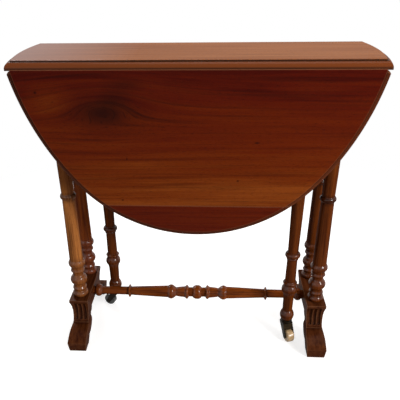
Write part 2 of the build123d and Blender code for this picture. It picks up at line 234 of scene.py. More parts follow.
# Heights in metres between which a leaf's colour runs, darker towards the hinge as painted shade, and
# between which a column's darker foot and its upper half, darkened as the painted shadow of the leaf,
# fade away; and places along the top between which its painted reflection does
LEAF_SHADE_RUN = (0.398, 0.69)
FOOT_FADE = (0.205, 0.235)
LEAF_SHADOW_FADE = (0.43, 0.38)
PAINTED_REFLECTION_FADE = (-0.36, -0.12)

# Studio in metres: lamps as place and size
LAMP_AIM = (0, 0, 0.45)
LAMPS = {
    "key": ((1.9, -1.6, 1.5), 0.85),
    "fill": ((-1.5, -1.8, 1.4), 1.4),
    "overhead": ((0.2, 0.3, 2.5), 1.6),
    "back": ((-1.1, 1.9, 2.0), 1.2),
}
WHITE = (1, 1, 1, 1)
FLOOR_HALF = 6
FLOOR_LIFT = 0.72
FLOOR_FADE = (0.6, 1.3)
CAMERA_PLACE = (0.0408, -1.1489, 0.892)
CAMERA_YAW = radians(-3.8)
CAMERA_PITCH = radians(29.4)
CAMERA_ROLL = radians(-0.97)
CAMERA_SHIFT = (0.0427, 0.1033)
CAMERA_SENSOR = 36

# Edges that turn more than the first angle stay crisp, corners of an outline that are wider than the
# second are left alone, and edges of a base or a horn that turn more than the others are rounded
SHARP = radians(28)
SMOOTH_CORNER = radians(155)
BASE_EDGE = radians(35)
HORN_EDGE = radians(50)

# Kinds of node that most materials use
MATH = "ShaderNodeMath"
RANGE = "ShaderNodeMapRange"
MIX = "ShaderNodeMix"
RAMP = "ShaderNodeValToRGB"
SHELTER = "ShaderNodeAmbientOcclusion"
SPLIT = "ShaderNodeSeparateXYZ"
SURFACE = "ShaderNodeBsdfPrincipled"
OUTPUT = "ShaderNodeOutputMaterial"


def linear(hex_colour):
    """Linear colour of an sRGB hex value."""
    parts = [int(hex_colour[at:at + 2], 16) / 255 for at in (1, 3, 5)]
    return [c / 12.92 if c <= 0.04045 else ((c + 0.055) / 1.055) ** 2.4 for c in parts]


def colour(name, description, hex_colour):
    """A colour that the user may change."""
    return FloatVectorProperty(
        name=name, description=description, default=linear(hex_colour), subtype="COLOR", min=0, max=1
    )


def length(name, description, millimetres):
    """A length that the user may change."""
    return FloatProperty(
        name=name, description=description, default=millimetres * MM, unit="LENGTH", min=0.0001
    )


def power(name, description, watts):
    """The power of a lamp that the user may change."""
    return FloatProperty(name=name, description=description, default=watts, unit="POWER", min=0)


class TopSettings(bpy.types.PropertyGroup):
    """Sizes of the oval top, its moulded edge and its rule joints."""

    oval_length: length("Length", "The oval along the table", 768)
    oval_width: length("Width", "The oval across the table with both leaves up", 932)
    side_radius: length("Side radius", "Radius of the oval's flatter arcs", 535)
    bed_width: length("Bed width", "Fixed board between its two rule joints", 204)
    board: length("Board", "Thickness of the boards", 18)
    quirk: length("Quirk", "Small step above the ovolo", 3)
    ovolo: length("Ovolo", "Radius of the rounded edge", 12)
    gap: length("Joint gap", "Space between the ovolo and the hollow that turns round it", 0.4)
    glue_line: length("Glue line", "From the middle of the top to the joint in a leaf", 390)
    arris: length("Arris", "Rounding that years of polishing gave the edges", 0.7)


class FinishSettings(bpy.types.PropertyGroup):
    """Colours of the woods, the metals and the china."""

    sapwood: colour("Sapwood", "Pale band above the joint in a leaf", "#7f3b10")
    # Painted shade: from rosy to ruddy and deep heart, the leaves darken up towards the hinge
    rosy: colour("Rosy", "Lower half of the leaves", "#6c2a07")
    heartwood: colour("Heartwood", "Main colour of the leaves", "#611e04")
    ruddy: colour("Ruddy", "Upper part of the leaves", "#521204")
    deep_heart: colour("Deep heart", "Darkest bands of the leaves", "#430a03")
    knot: colour("Knot", "Heart of the swirl in a leaf", "#1d0604")
    # Also laid in the hollows, where it is old wax and painted shade together
    wax_and_shade: colour("Old wax", "Dark lines, pores and the wax in the hollows", "#190704")
    leaf_edge: colour("Leaf edge", "Moulded edge and underside of the leaves, less stained", "#4a2410")
    # Rubbed arrises of the leaves, which also carry painted highlights
    leaf_arris: colour("Leaf arris", "Rubbed arrises of the leaves", "#85553a")
    faded_pale: colour("Faded top, pale", "Pale grain of the sun-faded fixed board", "#a06236")
    faded_deep: colour("Faded top, deep", "Deep grain of the sun-faded fixed board", "#84481f")
    # Painted reflection: a grey-mauve sheen laid over the left end of the top
    painted_reflection: colour("Haze", "Where the polish of the top has gone cloudy", "#9a8480")
    edge: colour("Edge", "Moulded edge of the fixed board, which the sun has faded less", "#713714")
    # Painted shade: the dark line in the quirk of the top, and the dark band along the foot of its ovolo
    # and the gap under it
    quirk: colour("Quirk", "Old wax in the quirk and along the foot of the ovolo", "#33170a")
    honey_pale: colour("Honey turnings, pale", "Pale streaks of the left front column", "#c67d3e")
    honey_deep: colour("Honey turnings, deep", "Dark streaks of the left front column", "#673519")
    # Painted shadow: darkens the upper half of the left front column where the leaf shades it; the column's
    # foot is simply darker
    honey_foot_and_leaf_shadow: colour("Honey ends", "Darker foot and upper half of the left front column", "#5a2a10")
    russet_pale: colour("Russet turnings, pale", "Pale streaks of the left back column", "#a2521f")
    russet_deep: colour("Russet turnings, deep", "Dark streaks of the left back column", "#4c1c0b")
    russet_foot: colour("Russet foot", "Darker turnings at the foot of the left back column", "#552a20")
    turned_pale: colour("Turnings, pale", "Pale streaks of the other turned parts", "#6f350f")
    turned_deep: colour("Turnings, deep", "Dark streaks of the other turned parts", "#391505")
    rail_pale: colour("Stretcher, pale", "Pale streaks of the stretcher", "#974a17")
    rail_deep: colour("Stretcher, deep", "Dark streaks of the stretcher", "#3c1504")
    # Rubbed rims of the turnings, which also carry painted highlights
    turned_arris: colour("Turned arris", "Rubbed rims of the turned parts", "#97531f")
    base_pale: colour("Bases, pale", "Pale grain of the bases", "#5f3218")
    base_deep: colour("Bases, deep", "Dark grain of the bases", "#351305")
    # Rubbed arrises of the bases, which also carry painted highlights
    base_arris: colour("Base arris", "Rubbed arrises of the bases", "#8a5f42")
    frame_pale: colour("Under-frame, pale", "Pale grain under the top", "#6d4223")
    frame_deep: colour("Under-frame, deep", "Dark grain under the top", "#40200f")
    brass: colour("Brass", "Tarnished brass of the hinges and castors", "#1d160d")
    tarnish: colour("Tarnish", "Blackest patches of the brass", "#0d0b09")
    steel: colour("Steel", "Steel of the pins and axles", "#6b6864")
    oil: colour("Oil", "Old oil on the steel", "#242120")
    china: colour("China", "Cream glaze of the front castor wheel", "#c5a377")
    grime: colour("Grime", "Brown grime on the front castor wheel", "#a2835c")
    dark_china: colour("Dark china", "Brown-black glaze of the back castor wheel", "#23221a")
    dark_grime: colour("Dark grime", "Grime on the back castor wheel", "#100d0a")


class StudioSettings(bpy.types.PropertyGroup):
    """The camera, the floor and the lamps."""

    lens: FloatProperty(name="Lens", description="Focal length", default=47.4, unit="CAMERA", min=1)
    floor: colour("Floor", "Pale studio floor", "#cfcdca")
    key: power("Key", "Softbox at the front right", 61)
    fill: power("Fill", "Wide lamp at the front left", 4)
    overhead: power("Overhead", "Softbox above", 21)
    back: power("Back", "Softbox behind the table", 34)
    ambient: FloatProperty(name="Ambient", description="Strength of the room's light", default=0.16, min=0)


class TableSettings(bpy.types.PropertyGroup):
    """Everything about the table that a user would change."""

    top: PointerProperty(type=TopSettings)
    finish: PointerProperty(type=FinishSettings)
    studio: PointerProperty(type=StudioSettings)
    turning_sides: IntProperty(
        name="Turning sides", description="Flats round each turned part", default=72, min=12, max=256
    )


def settings():
    """The scene's table settings."""
    return bpy.context.scene.drop_leaf_table


def spread(first, last, steps):
    """Evenly spaced values from the first to the last."""
    return [first + (last - first) * step / steps for step in range(steps + 1)]


def on_circle(x, y, radius, angles):
    """Points of a circle at these angles."""
    return [(x + radius * cos(a), y + radius * sin(a)) for a in angles]


def arc(start, end, swell):
    """Points of an arc after its start; it swells to the right of the way to its end."""
    start, end = Vector(start), Vector(end)
    if not swell:
        return [tuple(end)]
    chord = end - start
    along = chord.normalized()
    out = Vector((along.y, -along.x)) * (1 if swell > 0 else -1)
    rise = abs(swell)
    radius = (chord.length ** 2 / 4 + rise ** 2) / (2 * rise)
    half = 2 * atan2(2 * rise, chord.length)
    centre = (start + end) / 2 - out * (radius - rise)
    angles = spread(-half, half, ARC_STEPS)[1:]
    return [tuple(centre + (out * cos(a) + along * sin(a)) * radius) for a in angles]


def arc_through(start, middle, end, steps):
    """Points of the arc through three points, after its start."""
    (ax, ay), (bx, by), (cx, cy) = start, middle, end
    d = 2 * (ax * (by - cy) + bx * (cy - ay) + cx * (ay - by))
    a2, b2, c2 = (px * px + py * py for px, py in (start, middle, end))
    x = (a2 * (by - cy) + b2 * (cy - ay) + c2 * (ay - by)) / d
    y = (a2 * (cx - bx) + b2 * (ax - cx) + c2 * (bx - ax)) / d
    first, mid, last = (atan2(py - y, px - x) for px, py in (start, middle, end))
    turn = (last - first) % (2 * pi)
    if (mid - first) % (2 * pi) > turn:
        turn -= 2 * pi
    return on_circle(x, y, hypot(ax - x, ay - y), spread(first, first + turn, steps)[1:])


def soften(points, radius, closed=True):
    """Round the corners of an outline and leave its smooth curves as they are."""
    rounded = []
    for at, point in enumerate(points):
        if not closed and at in (0, len(points) - 1):
            rounded.append(tuple(point))
            continue
        here = Vector(point)
        back = Vector(points[at - 1]) - here
        on = Vector(points[(at + 1) % len(points)]) - here
        if back.angle(on) > SMOOTH_CORNER:
            rounded.append(tuple(point))
            continue
        first = here + back.normalized() * min(radius, back.length * CORNER_SHARE)
        last = here + on.normalized() * min(radius, on.length * CORNER_SHARE)
        rounded += [tuple(first), tuple(first / 4 + here / 2 + last / 4), tuple(last)]
    return rounded


def skin(shape, rings, capped=True):
    """Faces between rings of points, with a face over each end."""
    loops = [[shape.verts.new(point) for point in ring] for ring in rings]
    for low, high in zip(loops, loops[1:]):
        for at in range(len(low)):
            shape.faces.new((low[at - 1], low[at], high[at], high[at - 1]))
    if capped:
        shape.faces.new(loops[0])
        shape.faces.new(loops[-1])
    return shape


def prism(outline, low, high, place, shape=None):
    """A solid between two copies of an outline; place turns across, up and along into a point."""
    rings = [[place(across, up, along) for across, up in outline] for along in (low, high)]
    return skin(shape or bmesh.new(), rings)


def turned(start_radius, runs):
    """Profile of a turned part in metres, as radius and distance, with its arrises softened."""
    profile = [(start_radius * MM, 0.0)]
    for run, radius, swell in runs:
        end = (radius * MM, profile[-1][1] + run * MM)
        profile += arc(profile[-1], end, swell * MM)
    return soften(profile, TURNED_ARRIS * MM, closed=False)


def end_to_end(below, above):
    """One profile from two that start at the same ring, the first of them turned over."""
    return [(radius, -run) for radius, run in reversed(below)] + above[1:]


def lathe(profile, origin, axis, capped=True, shape=None):
    """Turn a profile about an axis."""
    axis = Vector(axis).normalized()
    right = axis.orthogonal().normalized()
    ahead = axis.cross(right)
    turns = spread(0, 2 * pi, settings().turning_sides)[:-1]
    spokes = [right * cos(a) + ahead * sin(a) for a in turns]
    rings = [[Vector(origin) + axis * run + spoke * radius for spoke in spokes] for radius, run in profile]
    return skin(shape or bmesh.new(), rings, capped)


def carve(blank, tool, operation):
    """Cut a blank with a tool and return what is left."""
    held = []
    for shape in (blank, tool):
        bmesh.ops.recalc_face_normals(shape, faces=shape.faces)
        mesh = bpy.data.meshes.new("blank")
        shape.to_mesh(mesh)
        shape.free()
        held.append(bpy.data.objects.new("blank", mesh))
        bpy.context.scene.collection.objects.link(held[-1])
    cut = held[0].modifiers.new("cut", "BOOLEAN")
    cut.object = held[1]
    cut.operation = operation
    cut.solver = "EXACT"
    left = bmesh.new()
    left.from_object(held[0], bpy.context.evaluated_depsgraph_get())
    for ob in held:
        mesh = ob.data
        bpy.data.objects.remove(ob)
        bpy.data.meshes.remove(mesh)
    if not left.faces:
        raise RuntimeError("a cut left nothing of its blank")
    return left


def piece(name, shape, material, body, nodes):
    """Make a shape into a piece that rides a body and stands for CAD nodes."""
    bmesh.ops.recalc_face_normals(shape, faces=shape.faces)
    mesh = bpy.data.meshes.new(name)
    shape.to_mesh(mesh)
    shape.free()
    mesh.materials.append(material)
    mesh.shade_smooth()
    mesh.set_sharp_from_angle(angle=SHARP)
    made = bpy.data.objects.new(name, mesh)
    bpy.context.scene.collection.objects.link(made)
    flat = made.modifiers.new("flat faces stay flat", "WEIGHTED_NORMAL")
    flat.keep_sharp = True
    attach(made, body)
    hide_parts(*nodes)
    return made


def soften_edges(made, width, sharper_than, harden):
    """Round a piece's edges, before its normals are weighted."""
    edges = made.modifiers.new("softened edges", "BEVEL")
    edges.width = width * MM
    edges.segments = 2
    edges.limit_method = "ANGLE"
    edges.angle_limit = sharper_than
    edges.harden_normals = harden
    made.modifiers.move(1, 0)


def dress(name, material):
    """Give a CAD node its finish."""
    for slot in frame["nodes"][name].material_slots:
        slot.material = material


def add(tree, kind, inputs=(), stops=(), **options):
    """Add a node: its options, its inputs by place or name as values or links, and a ramp's stops."""
    node = tree.nodes.new(kind)
    for option, value in options.items():
        setattr(node, option, value)
    for key, value in inputs.items() if isinstance(inputs, dict) else enumerate(inputs):
        if isinstance(value, bpy.types.Node):
            value = value.outputs[0]
        if isinstance(value, bpy.types.NodeSocket):
            tree.links.new(value, node.inputs[key])
        else:
            node.inputs[key].default_value = value
    if stops:
        ramp = node.color_ramp.elements
        while len(ramp) < len(stops):
            ramp.new(0.5)
        for element, (position, shade) in zip(ramp, stops):
            element.position = position
            element.color = (*shade, 1)
    return node


def new_material(name):
    """An empty material and its node tree."""
    material = bpy.data.materials.new(name)
    material.use_nodes = True
    material.node_tree.nodes.clear()
    return material, material.node_tree


def streaks(tree, coords, along, long, wide, detail):
    """Noise drawn out along the grain, from nought to one; long and wide are the size of a streak."""
    scale = [1 / wide] * 3
    scale[along] = 1 / long
    space = add(tree, "ShaderNodeMapping", {"Vector": coords, "Scale": scale})
    noise = add(tree, "ShaderNodeTexNoise", {
        "Vector": space, "Scale": 1.0, "Detail": detail, "Roughness": 0.55,
    })
    return add(tree, RANGE, (noise, 0.3, 0.7))


def distance(tree, coords, centre, reach):
    """How far a point is from a centre, as a share of the reach along each axis."""
    space = add(tree, "ShaderNodeMapping", {
        "Vector": coords,
        "Location": [-middle / size for middle, size in zip(centre, reach)],
        "Scale": [1 / size for size in reach],
    })
    return add(tree, "ShaderNodeVectorMath", (space,), operation="LENGTH").outputs["Value"]


def swirl(tree, coords, centre, reach):
    """Bend a leaf's grain round a knot: the bent coordinates, and how near the knot's heart is."""
    x, y, z = add(tree, SPLIT, (coords,)).outputs
    offsets = [add(tree, MATH, pair, operation="SUBTRACT") for pair in ((x, centre[0]), (z, centre[2]))]
    units = [add(tree, MATH, pair, operation="DIVIDE") for pair in zip(offsets, (reach[0], reach[2]))]
    square = add(tree, MATH, (units[1], units[1]), operation="MULTIPLY")
    far = add(tree, MATH, (units[0], units[0], square), operation="MULTIPLY_ADD")
    near = add(tree, MATH, (1.0, add(tree, MATH, (far, 1.0), operation="ADD")), operation="DIVIDE")
    pinch = add(tree, MATH, (offsets[1], near), operation="MULTIPLY")
    level = add(tree, MATH, (z, pinch), operation="SUBTRACT")
    bent = add(tree, MATH, (near, -KNOT_RISE * MM, level), operation="MULTIPLY_ADD")
    return add(tree, "ShaderNodeCombineXYZ", (x, y, bent)).outputs[0], near


def wood(name, along, stops, sizes, polish, leaf=None, flecks=(), blooms=(), wear_and_highlight=None, beads=None):
    """A mahogany finish whose grain runs along an axis.

    Stops colour it, palest grain first; sizes are the length, width and detail of its figure, its
    streaks, its dark lines and its pores; polish is the wood's roughness, how much polish lies over it
    and how rough that is. A leaf has a knot and a pale patch, and its colour also runs down it, darker
    towards the hinge as painted shade. Flecks are dark marks: centre, reach and share. A bloom lays a
    colour over part of it: the axis, the places between which it fades away, its share and the colour.
    Wear colours the rubbed arrises and paints highlights along them; wax and painted shade darken the
    hollows. Beads are the polish on the upper slopes of a turned part, where the cloth presses most.
    """
    tones = settings().finish
    material, tree = new_material(name)
    source = add(tree, "ShaderNodeTexCoord")
    place = coords = source.outputs["Object"]
    if leaf:
        knot, patch = leaf
        coords, near = swirl(tree, coords, *knot)
    figure, streak, line, pore = (streaks(tree, coords, along, *size) for size in sizes)
    depth = add(tree, MIX, {0: 0.5, 2: figure, 3: streak})
    drawn = add(tree, RANGE, (line, *LINE_FADE, 0.0, LINE_SHARE))
    layers = []
    if leaf:
        # Painted shade: the colour runs darker up the leaf towards the hinge
        run = add(tree, RANGE, (add(tree, SPLIT, (coords,)).outputs[2], *LEAF_SHADE_RUN))
        stray = add(tree, MATH, (near, KNOT_STRAY, LEAF_STRAY), operation="MULTIPLY_ADD")
        off = add(tree, MATH, (depth, 0.5), operation="SUBTRACT")
        depth = add(tree, MATH, (off, stray, run), operation="MULTIPLY_ADD")
        pale = add(tree, RANGE, (distance(tree, place, *patch), *MARK_FADE, PATCH_SHARE, 0.0))
        depth = add(tree, MATH, (depth, pale), operation="SUBTRACT")
        crowd = add(tree, MATH, (near, KNOT_LINES, LEAF_LINES), operation="MULTIPLY_ADD")
        drawn = add(tree, MATH, (drawn, crowd), operation="MULTIPLY")
        core = add(tree, MATH, (near, HEART_POWER), operation="POWER")
        layers.append((add(tree, MATH, (core, HEART_SHARE), operation="MULTIPLY"), tones.knot))

    # Each layer is a share and the colour that it lays over those below
    pits = add(tree, RANGE, (pore, *PORE_FADE, 0.0, PORE_SHARE))
    layers = [(drawn, tones.wax_and_shade), (pits, tones.wax_and_shade)] + layers
    for centre, reach, share in flecks:
        far = distance(tree, place, centre, reach)
        layers.append((add(tree, RANGE, (far, *MARK_FADE, share, 0.0)), tones.wax_and_shade))
    for axis, low, high, share, laid in blooms:
        level = add(tree, SPLIT, (place,)).outputs[axis]
        layers.append((add(tree, RANGE, (level, low, high, share, 0.0)), laid))
    own_wood = {"only_local": True, "samples": SHELTER_SAMPLES}
    # Rubbed arrises with painted highlights: paler where the wood is thin
    if wear_and_highlight:
        crest = add(tree, SHELTER, {"Distance": WEAR_AND_HIGHLIGHT_REACH}, inside=True, **own_wood)
        layers.append((add(tree, RANGE, (crest.outputs["AO"], *WEAR_AND_HIGHLIGHT_FADE, WEAR_AND_HIGHLIGHT_SHARE, 0.0)), wear_and_highlight))
    # Old wax and painted shade in the hollows: darker where other wood of the piece stands near
    reach = BEAD_WAX_AND_SHADE_REACH if beads else WAX_AND_SHADE_REACH
    hollow = add(tree, SHELTER, {"Distance": reach}, **own_wood)
    layers.append((add(tree, RANGE, (hollow.outputs["AO"], *WAX_AND_SHADE_FADE, WAX_AND_SHADE_SHARE, 0.0)), tones.wax_and_shade))
    tone = add(tree, RAMP, (depth,), stops)
    for share, laid in layers:
        tone = add(tree, MIX, {0: share, 6: tone, 7: (*laid, 1)}, data_type="RGBA").outputs[2]

    rough, coat, coat_rough = polish
    if beads:
        facing = add(tree, SPLIT, (source.outputs["Normal"],)).outputs
        steep = add(tree, MATH, (facing[along],), operation="ABSOLUTE")
        slope = add(tree, RANGE, (steep, *BEAD_SLOPE, coat, beads))
        upward = add(tree, RANGE, (facing[2], *BEAD_UPWARD, UNDER_BEAD, 1.0))
        coat = add(tree, MATH, (slope, upward), operation="MULTIPLY")
    pitted = {"Strength": PORE_RELIEF, "Distance": PORE_DEPTH, "Height": pore}
    shader = add(tree, SURFACE, {
        "Base Color": tone,
        "Roughness": add(tree, RANGE, (streak, 0.0, 1.0, rough - 0.06, rough + 0.08)),
        "Specular IOR Level": 0.0,
        "Coat Weight": coat,
        "Coat Roughness": coat_rough,
        "Coat IOR": 1.5,
        "Normal": add(tree, "ShaderNodeBump", pitted, invert=True),
    })
    add(tree, OUTPUT, {"Surface": shader})
    return material


def polished_leaf(name, knot, patch, flecks, blooms):
    """French-polished mahogany leaf: deep red near the joint, darkened there as painted shade, orange lower
    down, its grain round a knot.
    """
    tones = settings().finish
    stops = [
        (0.0, tones.sapwood), (0.05, tones.sapwood), (0.2, tones.rosy), (0.5, tones.heartwood),
        (0.85, tones.ruddy), (1.0, tones.deep_heart),
    ]
    sizes = ((300 * MM, 24 * MM, 3), (260 * MM, 8 * MM, 4), (320 * MM, 4.6 * MM, 2), PORES)
    return wood(
        name, 0, stops, sizes, (0.4, 0.06, 0.12), leaf=(knot, patch), flecks=flecks, blooms=blooms,
        wear_and_highlight=tones.leaf_arris,
    )


def polished_tip(name, edge):
    """French-polished mahogany of the narrow boards: even red-brown with fine streaks."""
    tones = settings().finish
    stops = [(0.1, tones.ruddy), (0.9, tones.heartwood)]
    sizes = ((240 * MM, 18 * MM, 3), (200 * MM, 5 * MM, 4), (280 * MM, 3 * MM, 2), PORES)
    return wood(name, 0, stops, sizes, (0.4, 0.06, 0.12), blooms=[edge], wear_and_highlight=tones.leaf_arris)


def faded_top(name):
    """Polished mahogany that sun has faded to tan, with a painted reflection that pales it towards the left
    end.
    """
    tones = settings().finish
    stops = [(0.1, tones.faded_pale), (0.9, tones.faded_deep)]
    sizes = ((380 * MM, 30 * MM, 3), (260 * MM, 6 * MM, 4), (320 * MM, 3.5 * MM, 2), PORES)
    shoulder = TABLE_HEIGHT - settings().top.quirk
    # Painted reflection: the left end of the top is paled towards grey-mauve
    painted_reflection = (0, *PAINTED_REFLECTION_FADE, 0.66, tones.painted_reflection)
    # Painted shade: a dark line in the quirk, and a dark band along the foot of the ovolo and the gap under
    # it; the edge tone between them is the board's own
    quirk = (2, TABLE_HEIGHT - 0.9 * MM, TABLE_HEIGHT - 0.4 * MM, 0.85, tones.quirk)
    edge = (2, shoulder - 1.2 * MM, shoulder - 0.2 * MM, 0.95, tones.edge)
    foot = (2, shoulder - 11 * MM, shoulder - 8 * MM, 0.8, tones.quirk)
    return wood(name, 0, stops, sizes, (0.4, 0.16, 0.14), blooms=(painted_reflection, quirk, edge, foot))


def turned_mahogany(name, along, pale, deep, collar=None, blooms=()):
    """Mahogany turned on a lathe and waxed: straight streaks, dark wax and painted shade in the hollows,
    bright beads.
    """
    stops = [(0.1, pale), (0.9, deep)]
    sizes = ((220 * MM, 14 * MM, 3), (150 * MM, 4 * MM, 4), (200 * MM, 2.4 * MM, 2), PORES)
    collars = [((0, 0, collar), (EVERYWHERE, EVERYWHERE, COLLAR_REACH), COLLAR_SHARE)] if collar else []
    return wood(
        name, along, stops, sizes, (0.4, 0.08, 0.08), flecks=collars, blooms=blooms, beads=0.55,
        wear_and_highlight=settings().finish.turned_arris,
    )


def dark_mahogany(name):
    """Mahogany of the bases, darkened by floor wax: dull, with dirt and painted shade in the flutes."""
    tones = settings().finish
    stops = [(0.1, tones.base_pale), (0.9, tones.base_deep)]
    sizes = ((140 * MM, 16 * MM, 3), (90 * MM, 4 * MM, 4), (120 * MM, 2.4 * MM, 2), PORES)
    return wood(name, 1, stops, sizes, (0.5, 0.06, 0.2), wear_and_highlight=tones.base_arris)


def frame_wood(name):
    """Plain mahogany of the under-frame, planed and stained but not polished: matt brown."""
    tones = settings().finish
    stops = [(0.1, tones.frame_pale), (0.9, tones.frame_deep)]
    sizes = ((160 * MM, 12 * MM, 3), (90 * MM, 4 * MM, 4), (160 * MM, 2.4 * MM, 2), PORES)
    return wood(name, 0, stops, sizes, (0.65, 0.0, 0.3))


def metal(name, bright, dirty, rough, patch):
    """A worn metal: bright where it is handled, dirty in patches of the size given and in hollows."""
    material, tree = new_material(name)
    coords = add(tree, "ShaderNodeTexCoord").outputs["Object"]
    cloud = add(tree, "ShaderNodeTexNoise", {"Vector": coords, "Scale": 1 / patch, "Detail": 4.0})
    hollow = add(tree, SHELTER, {"Distance": 4 * MM}, only_local=True, samples=SHELTER_SAMPLES)
    worn = add(tree, MATH, (cloud, hollow.outputs["AO"]), operation="MULTIPLY")
    cast = {"Strength": 0.15, "Distance": 0.2 * MM, "Height": cloud}
    shader = add(tree, SURFACE, {
        "Base Color": add(tree, RAMP, (worn,), [(0.2, dirty), (0.6, bright)]),
        "Metallic": 1.0,
        "Roughness": add(tree, RANGE, (worn, 0.2, 0.6, rough + 0.2, rough)),
        "Normal": add(tree, "ShaderNodeBump", cast),
    })
    add(tree, OUTPUT, {"Surface": shader})
    return material


def tarnished_brass(name):
    """Cast brass that has gone nearly black, with brown where it is handled."""
    tones = settings().finish
    return metal(name, tones.brass, tones.tarnish, 0.42, 6 * MM)


def dull_steel(name):
    """Drawn steel of the pins and axles: a grey, oily surface."""
    tones = settings().finish
    return metal(name, tones.steel, tones.oil, 0.4, 5 * MM)


def glazed_china(name, glaze, grime):
    """Glazed earthenware of a castor wheel: a hard shine, with grime in faint patches."""
    material, tree = new_material(name)
    coords = add(tree, "ShaderNodeTexCoord").outputs["Object"]
    cloud = add(tree, "ShaderNodeTexNoise", {"Vector": coords, "Scale": 1 / (9 * MM), "Detail": 5.0})
    shader = add(tree, SURFACE, {
        "Base Color": add(tree, RAMP, (cloud,), [(0.3, grime), (0.55, glaze)]),
        "Roughness": add(tree, RANGE, (cloud, 0.3, 0.7, 0.4, 0.16)),
        "IOR": 1.5,
    })
    add(tree, OUTPUT, {"Surface": shader})
    return material


def finish(maker, name, *words):
    """The finish of that name, made once."""
    return bpy.data.materials.get(name) or maker(name, *words)


def oval_points(inset):
    """The four-centred oval of the top, or one inside it, as points."""
    top = settings().top
    half_length = top.oval_length / 2
    half_width = top.oval_width / 2
    side_centre = top.side_radius - half_length
    spare = top.side_radius - half_width
    tip_centre = (side_centre ** 2 - spare ** 2) / (2 * spare)
    corner = atan2(tip_centre, side_centre)
    arcs = (
        (-side_centre, 0, top.side_radius, -corner, corner),
        (0, tip_centre, half_width - tip_centre, corner, pi - corner),
        (side_centre, 0, top.side_radius, pi - corner, pi + corner),
        (0, -tip_centre, half_width - tip_centre, pi + corner, 2 * pi - corner),
    )
    points = []
    for x, y, radius, first, last in arcs:
        steps = round(radius * (last - first) / (OVAL_SPACING * MM))
        points += on_circle(x, y, radius - inset, spread(first, last, steps)[:-1])
    return points


def moulded_oval(place):
    """The whole oval top with its quirk and ovolo edge; place turns across, along and up into a point."""
    top = settings().top
    shoulder = top.board - top.quirk
    inside = top.ovolo + top.gap
    edge = [(UNDER_RING * MM, 0.0), (0.0, 0.0), (0.0, shoulder - top.ovolo)]
    edge += arc(edge[-1], (top.ovolo, shoulder), top.ovolo * (sqrt(0.5) - 1))
    edge += [(inside, shoulder), (inside, top.board), (UPPER_RING * MM, top.board)]
    edge = soften(edge, top.arris, closed=False)
    rings = [[place(across, along, up) for across, along in oval_points(inset)] for inset, up in edge]
    return skin(bmesh.new(), rings)


def hinge_line():
    """Distance out and height of the hinge axes, and the thickness of wood below them."""
    top = settings().top
    depth = top.quirk + top.ovolo
    return top.bed_width / 2, TABLE_HEIGHT - depth, top.board - depth


def hinge_spots():
    """Middles of the two hinges of a leaf, along the table."""
    low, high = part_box("front_hinge_fixed_flaps")
    return low.x + FLAP_WIDTH * MM / 2, high.x - FLAP_WIDTH * MM / 2


def across_section(facing):
    """A place function for outlines drawn across the table, from a hinge axis outwards."""
    out, height, _ = hinge_line()
    return lambda across, up, along: (along, facing * (out + across), height + up)


def flap_beds(outline, facing, shape):
    """Add the tools that cut the beds of two hinge flaps."""
    half = (FLAP_WIDTH / 2 + FLAP_ROOM) * MM
    for spot in hinge_spots():
        prism(outline, spot - half, spot + half, across_section(facing), shape)
    return shape


def fixed_board():
    """The middle board: a slice of the oval, with the round of a rule joint along each side."""
    top = settings().top
    out, height, under = hinge_line()
    section = on_circle(out, height, top.ovolo, spread(-asin(under / top.ovolo), pi / 2, COVE_STEPS))
    section.append((out, TABLE_HEIGHT))
    section += [(-x, z) for x, z in reversed(section)]
    ends = (-top.oval_length, top.oval_length)
    bed = prism(soften(section, top.arris), *ends, lambda across, up, along: (along, across, up))
    oval = moulded_oval(lambda x, y, up: (x, y, TABLE_HEIGHT - top.board + up))
    tools = bmesh.new()
    for facing in SIDES.values():
        flap_beds([(x * MM, z * MM) for x, z in FIXED_BED], facing, tools)
    return carve(carve(oval, bed, "INTERSECT"), tools, "DIFFERENCE")


def leaf_boards(facing):
    """The wide board of a leaf, hollowed to turn round the ovolo, and the narrow board below it."""
    top = settings().top
    out, _, under = hinge_line()
    hollow = top.ovolo + top.gap
    face = top.board - under
    drop = top.glue_line - out
    below = top.oval_width / 2 - out + BLANK_SPARE * MM
    start = atan2(-sqrt(hollow ** 2 - under ** 2), -under)
    upper = on_circle(0, 0, hollow, spread(start, -asin(top.gap / hollow), COVE_STEPS))
    wide = upper + [(face, -top.gap), (face, -drop), (-under, -drop)]
    tip = [(face, -drop), (face, -below), (-under, -below), (-under, -drop)]
    hang = across_section(facing)
    boards = []
    for outline, arris in ((wide, LEAF_ARRIS), (tip, GLUED_ARRIS)):
        oval = moulded_oval(lambda x, y, up: hang(up - under, y + out, x))
        blank = prism(soften(outline, arris * MM), -top.oval_length, top.oval_length, hang)
        boards.append(carve(oval, blank, "INTERSECT"))
    spare = CUT_SPARE * MM
    back = -under - spare
    let_in = -FLAP_LET_IN * MM
    end = -MOVING_BED * MM
    bed = [(back, spare), (let_in, spare), (let_in, end), (back, end)]
    return carve(boards[0], flap_beds(bed, facing, bmesh.new()), "DIFFERENCE"), boards[1]


def mark(facing, left, up, half_width, half_height):
    """Centre and reach of a mark in a leaf, in metres."""
    return (left * facing * MM, 0, up * MM), (half_width * MM, 1, half_height * MM)


